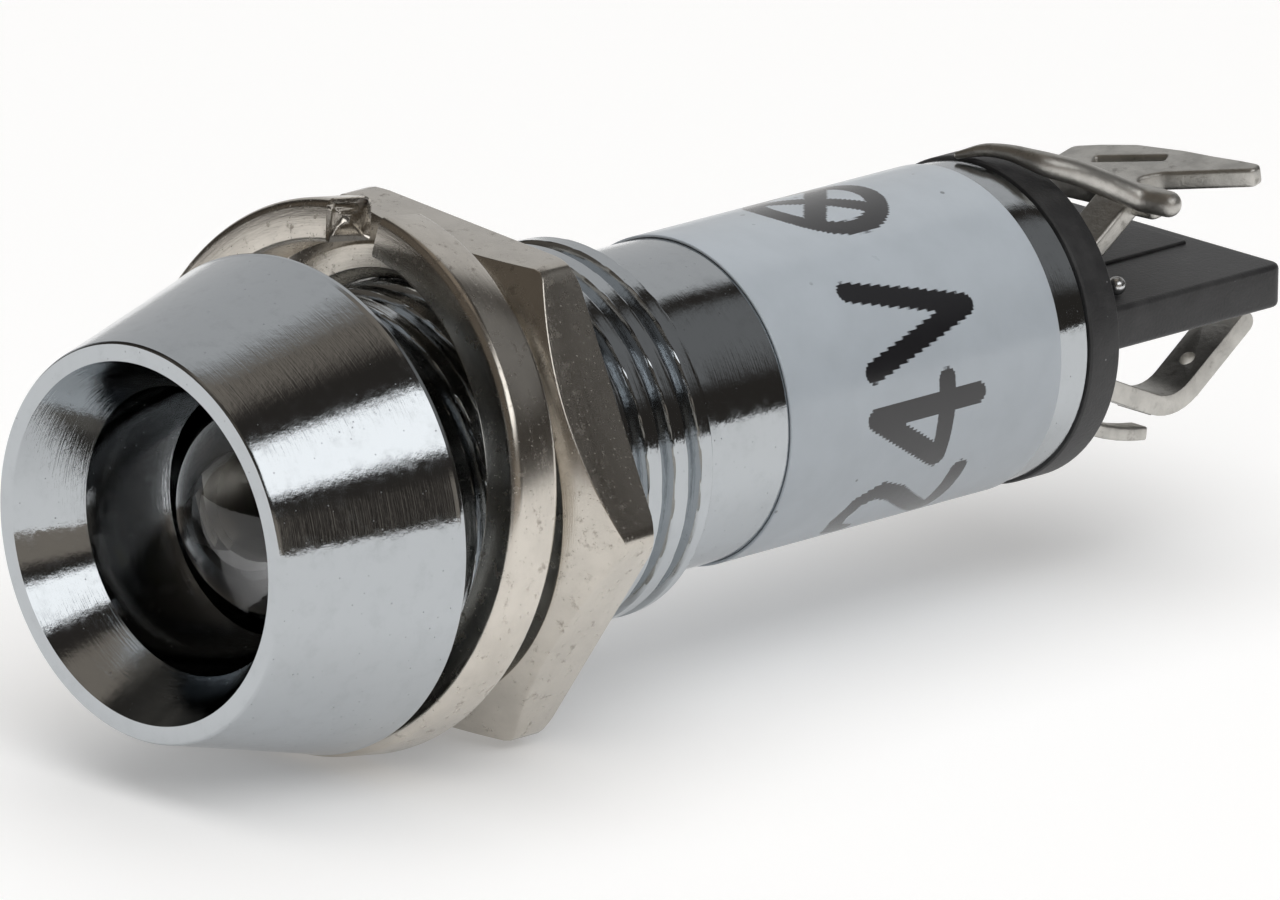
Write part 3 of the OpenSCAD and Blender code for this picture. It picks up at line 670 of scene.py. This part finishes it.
low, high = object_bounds()
floorMesh = bpy.data.meshes.new("floor")
size = 0.32
floorMesh.from_pydata([(-size, -size, low.z), (size, -size, low.z), (size, size, low.z), (-size, size, low.z)], [], [(0, 1, 2, 3)])
floor = bpy.data.objects.new("floor", floorMesh)
bpy.context.scene.collection.objects.link(floor)
paper = Surface("paper", Roughness=0.9, Specular_IOR_Level=0.0)
paper.shader.inputs["Base Color"].default_value = (0.86, 0.86, 0.86, 1)
path = {name: paper.base.node("ShaderNodeLightPath", {}, [], name) for name in ("Is Camera Ray", "Is Glossy Ray", "Is Transmission Ray")}
seen = path["Is Camera Ray"].most(path["Is Glossy Ray"]).most(path["Is Transmission Ray"])
glow = paper.base.node("ShaderNodeEmission", {}, {"Color": (1, 1, 1, 1), "Strength": seen * 0.22})
both = paper.base.node("ShaderNodeAddShader", {}, [Sock(paper.tree, paper.shader.outputs[0]), glow])
paper.tree.links.new(both.out, paper.tree.nodes["Material Output"].inputs["Surface"])
floorMesh.materials.append(paper.material)

world = bpy.data.worlds.new("studio")
bpy.context.scene.world = world
world.use_nodes = True
sky = Sock(world.node_tree, None)
way = sky.node("ShaderNodeTexCoord", {}, [], "Generated")
wx, wy, wz = (sky.node("ShaderNodeSeparateXYZ", {}, [way], axis) for axis in "XYZ")
bearing = sky.math("ARCTAN2", wx, -wy) * (180 / math.pi)
height = wz.math("ARCSINE", wz) * (180 / math.pi)
warm, plain = (1.0, 0.87, 0.73), (1.0, 1.0, 1.0)
panels = [
    # from, to, low, high (degrees round from -Y towards +X, degrees up), softness, strength, colour
    (-400, 400, 70, 100, 4.0, 0.26, warm),
    (30, 100, -8, 17, 3.0, 0.27, warm),
    (-70, 40, 12, 62, 8.0, 0.12, warm),
    (137, 174, 18, 50, 4.0, 0.2, plain),
    (-172, -105, -8, 68, 5.0, 0.58, plain),
    (58, 119, 27, 53, 2.5, 1.75, plain)]
light = (0.035, 0.031, 0.027)
for start, end, bottom, top, soft, strength, tint in panels:
    light = (bearing.between(start, end, soft) * height.between(bottom, top, soft)).mix(light, tuple(strength * c for c in tint))
background = world.node_tree.nodes["Background"]
world.node_tree.links.new(light.out, background.inputs["Color"])

lamps = {
    # name: place, size, watts, seen in metal
    "fill": ((0.0, 0.0, 0.9), 1.2, 5.6, False),
    "key": ((0.45, -0.35, 0.6), 0.5, 1.7, False)}
for name, (place, size, power, shown) in lamps.items():
    lamp = bpy.data.lights.new(name, "AREA")
    lamp.size, lamp.energy = size, power
    holder = bpy.data.objects.new(name, lamp)
    holder.location = place
    holder.rotation_euler = (Vector((0, 0, 0)) - Vector(place)).to_track_quat("-Z", "Y").to_euler()
    holder.visible_glossy = shown
    bpy.context.scene.collection.objects.link(holder)

lens = bpy.data.cameras.new("camera")
lens.lens, lens.sensor_width, lens.clip_start, lens.clip_end = 665.06, 36.0, 0.01, 20.0
camera = bpy.data.objects.new("camera", lens)
back, up = -Vector((-0.67995, 0.67383, -0.28918)), Vector((-0.21584, 0.19298, 0.95717))
right = up.cross(back).normalized()
up = back.cross(right).normalized()
camera.matrix_world = Matrix.Translation((0.330744, -0.317808, 0.139793)) @ Matrix((right, up, back.normalized())).transposed().to_4x4()
bpy.context.scene.collection.objects.link(camera)
bpy.context.scene.camera = camera
bpy.context.scene.view_settings.view_transform = "Standard"

print("scene ready")
